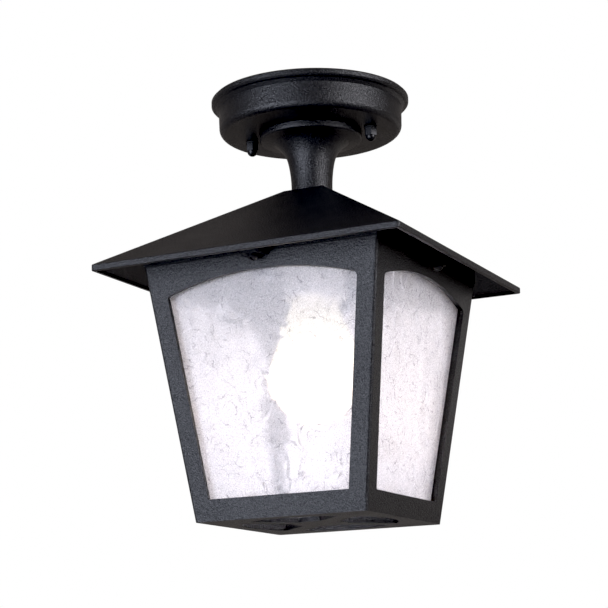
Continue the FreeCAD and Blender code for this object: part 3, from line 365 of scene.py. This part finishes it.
def pane_mesh(name, seed):
    """A trapezoid pane, upright behind the plane y = 0: flat inside, hammered outside."""
    stretch = 1 / math.cos(SLANT)
    rows = int(round((PANE_FOOT - PANE_TOP) * stretch / GRID_STEP))
    columns = int(round(2 * pane_half(PANE_TOP) / GRID_STEP))
    drops = np.linspace(PANE_TOP, PANE_FOOT, rows + 1)
    shares = np.linspace(-1.0, 1.0, columns + 1)
    across = np.array([pane_half(d) for d in drops])[:, None] * shares[None, :]
    along = np.repeat((drops * stretch)[:, None], columns + 1, axis=1)
    height, ring = dimples(across, along, seed)
    edge = (1 - np.abs(shares)[None, :]) * pane_half(PANE_TOP)
    rim = np.clip(edge / FLAT_RIM, 0, 1)
    near = PANE_NEAR + DIMPLE_DEPTH * height * rim
    outer = np.stack([across, near, -along], axis=-1).reshape(-1, 3)
    inner = np.stack([across, np.full_like(across, PANE_NEAR + PANE_THICK), -along],
                     axis=-1).reshape(-1, 3)
    count = (rows + 1) * (columns + 1)
    index = np.arange(count).reshape(rows + 1, columns + 1)
    corners = (index[:-1, :-1], index[:-1, 1:], index[1:, 1:], index[1:, :-1])
    squares = np.stack([corner.ravel() for corner in corners], axis=1)
    faces = [squares[:, ::-1], squares + count]
    border = np.concatenate([index[0, :], index[1:, -1], index[-1, -2::-1], index[-2:0:-1, 0]])
    following = np.roll(border, -1)
    faces.append(np.stack([border, following, following + count, border + count], axis=1))
    mesh = bpy.data.meshes.new(name)
    mesh.from_pydata(np.concatenate([outer, inner]).tolist(), [],
                     np.concatenate(faces).tolist())
    mesh.validate()
    mesh.shade_smooth()
    layer = mesh.attributes.new("ring", "FLOAT", "POINT")
    layer.data.foreach_set("value", np.concatenate([ring.ravel(), np.full(count, INNER_RING)]))
    mesh.materials.append(clear_glass)
    return mesh


def place_pane(side, number):
    """Lean a pane back against its window and let it ride on the cage."""
    name = "hammered_pane_" + side
    piece = bpy.data.objects.new(name, pane_mesh(name, seed=number))
    bpy.context.scene.collection.objects.link(piece)
    lean = Matrix.Rotation(SLANT, 4, "X")
    stand = Matrix.Translation(Vector((0, -CAGE_HALF, EAVES)))
    turn = Matrix.Rotation(math.radians(90 * number), 4, "Z")
    piece.data.transform(turn @ stand @ lean)
    sharpen = piece.modifiers.new("crisp_rim", "EDGE_SPLIT")
    sharpen.split_angle = CRISP_ANGLE
    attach(piece, "cage")
    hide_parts("glass_pane_" + side)


for number, side in enumerate(("front", "right", "back", "left")):
    place_pane(side, number)

# ---------------------------------------------------------------- light

BACKDROP = (0.22, 0.20, 0.19)
BACKDROP_SEEN = (1.0, 1.0, 1.0)
# What shows through the glass, from the lantern's left (-X) to its right
THROUGH_GLASS = (
    (0.00, (0.10, 0.08, 0.08)), (0.20, (0.60, 0.50, 0.46)), (0.25, (1.90, 1.80, 1.80)),
    (0.30, (1.90, 1.80, 1.84)), (0.31, (0.62, 0.48, 0.41)), (0.39, (0.60, 0.48, 0.41)),
    (0.45, (2.00, 2.00, 2.10)), (0.70, (3.40, 3.40, 3.70)))


def studio_world():
    """A backdrop that is white to the eye, uneven through glass, and dim in reflections."""
    world = bpy.data.worlds.new("studio")
    bpy.context.scene.world = world
    world.use_nodes = True
    tree = world.node_tree
    tree.nodes.clear()
    output = tree.nodes.new("ShaderNodeOutputWorld")
    path = tree.nodes.new("ShaderNodeLightPath")
    dim, through, seen = (tree.nodes.new("ShaderNodeBackground") for _ in range(3))
    dim.inputs["Color"].default_value = (*BACKDROP, 1.0)
    seen.inputs["Color"].default_value = (*BACKDROP_SEEN, 1.0)
    direction = tree.nodes.new("ShaderNodeTexCoord")
    parts = tree.nodes.new("ShaderNodeSeparateXYZ")
    across = tree.nodes.new("ShaderNodeMapRange")
    across.inputs["From Min"].default_value = -1.0
    sweep = tree.nodes.new("ShaderNodeValToRGB")
    set_stops(sweep, THROUGH_GLASS)
    glass_mix = tree.nodes.new("ShaderNodeMixShader")
    eye_mix = tree.nodes.new("ShaderNodeMixShader")
    for source, target in (
            (direction.outputs["Generated"], parts.inputs[0]),
            (parts.outputs["X"], across.inputs["Value"]),
            (across.outputs["Result"], sweep.inputs["Fac"]),
            (sweep.outputs["Color"], through.inputs["Color"]),
            (path.outputs["Is Transmission Ray"], glass_mix.inputs[0]),
            (dim.outputs[0], glass_mix.inputs[1]), (through.outputs[0], glass_mix.inputs[2]),
            (path.outputs["Is Camera Ray"], eye_mix.inputs[0]),
            (glass_mix.outputs[0], eye_mix.inputs[1]), (seen.outputs[0], eye_mix.inputs[2]),
            (eye_mix.outputs[0], output.inputs["Surface"])):
        tree.links.new(source, target)


LIGHT_TARGET = Vector((0, 0, -0.15))


def area_light(name, azimuth, elevation, distance, size, power, colour):
    """A soft box aimed at the lantern; azimuth 0 is in front (-Y), 90 at the right (+X)."""
    light = bpy.data.lights.new(name, "AREA")
    light.shape = "RECTANGLE"
    light.size, light.size_y = size
    light.energy = power
    light.color = colour
    lamp = bpy.data.objects.new(name, light)
    around, above = math.radians(azimuth), math.radians(elevation)
    level = math.cos(above)
    aim = Vector((math.sin(around) * level, -math.cos(around) * level, math.sin(above)))
    lamp.location = LIGHT_TARGET + aim * distance
    lamp.rotation_mode = "QUATERNION"
    lamp.rotation_quaternion = (-aim).to_track_quat("-Z", "Y")
    lamp.visible_camera = False
    bpy.context.scene.collection.objects.link(lamp)


studio_world()
area_light("front_left_box", azimuth=-20, elevation=-6, distance=1.2, size=(0.8, 1.1),
           power=15.0, colour=(0.80, 0.85, 1.0))
area_light("right_box", azimuth=84, elevation=14, distance=1.2, size=(0.5, 0.8),
           power=10.5, colour=(0.88, 0.88, 0.95))
area_light("low_back_card", azimuth=151, elevation=2, distance=0.5, size=(0.5, 0.18),
           power=0.09, colour=(1.0, 0.97, 0.95))

# A pale floor far below the lantern
FLOOR_HALF, FLOOR_HEIGHT = 4.0, -1.5
FLOOR_SCALE = 3.0
FLOOR_TINTS = ((0.3, (0.80, 0.80, 0.80)), (0.7, (0.84, 0.84, 0.84)))
FLOOR_CORNERS = ((-1, -1), (1, -1), (1, 1), (-1, 1))

floor_mesh = bpy.data.meshes.new("floor")
floor_mesh.from_pydata([(FLOOR_HALF * x, FLOOR_HALF * y, FLOOR_HEIGHT) for x, y in FLOOR_CORNERS],
                       [], [(0, 1, 2, 3)])
floor = bpy.data.objects.new("floor", floor_mesh)
floor_shader = Shader("pale_floor")
floor_shader.surface({
    "Base Color": floor_shader.ramp(floor_shader.noise(FLOOR_SCALE), *FLOOR_TINTS),
    "Roughness": 0.8})
floor_mesh.materials.append(floor_shader.material)
bpy.context.scene.collection.objects.link(floor)

# ---------------------------------------------------------------- camera

# Solved from the photograph's edges and corners; pixels are the photograph's
FOCAL_PIXELS = 1794.30
FRAME_PIXELS = 608.0
SHIFT_PIXELS = (0.57, -1.60)
SENSOR = 36.0
NEAR_CLIP = 0.05
CAMERA_PLACE = Vector((0.4754, -0.9980, EAVES - 0.2523))
CAMERA_AIM = Vector((-0.4261, 0.8795, 0.2120))
CAMERA_ROLL = math.radians(-1.400)

camera_data = bpy.data.cameras.new("camera")
camera_data.sensor_width = SENSOR
camera_data.lens = FOCAL_PIXELS / FRAME_PIXELS * SENSOR
camera_data.shift_x = SHIFT_PIXELS[0] / FRAME_PIXELS
camera_data.shift_y = SHIFT_PIXELS[1] / FRAME_PIXELS
camera_data.clip_start = NEAR_CLIP
camera = bpy.data.objects.new("camera", camera_data)
bpy.context.scene.collection.objects.link(camera)
bpy.context.scene.camera = camera
forward = CAMERA_AIM.normalized()
level = forward.cross(Vector((0, 0, 1))).normalized()
upward = level.cross(forward)
basis = Matrix((level, upward, -forward)).transposed().to_4x4()
camera.matrix_world = (Matrix.Translation(CAMERA_PLACE) @ basis
                       @ Matrix.Rotation(CAMERA_ROLL, 4, "Z"))

# The photograph's deep blacks: a plain view with its black point a little raised
BLACK_POINT = 0.012
view_settings = bpy.context.scene.view_settings
view_settings.view_transform = "Standard"
view_settings.use_curve_mapping = True
view_settings.curve_mapping.black_level = (BLACK_POINT, BLACK_POINT, BLACK_POINT)
view_settings.curve_mapping.update()
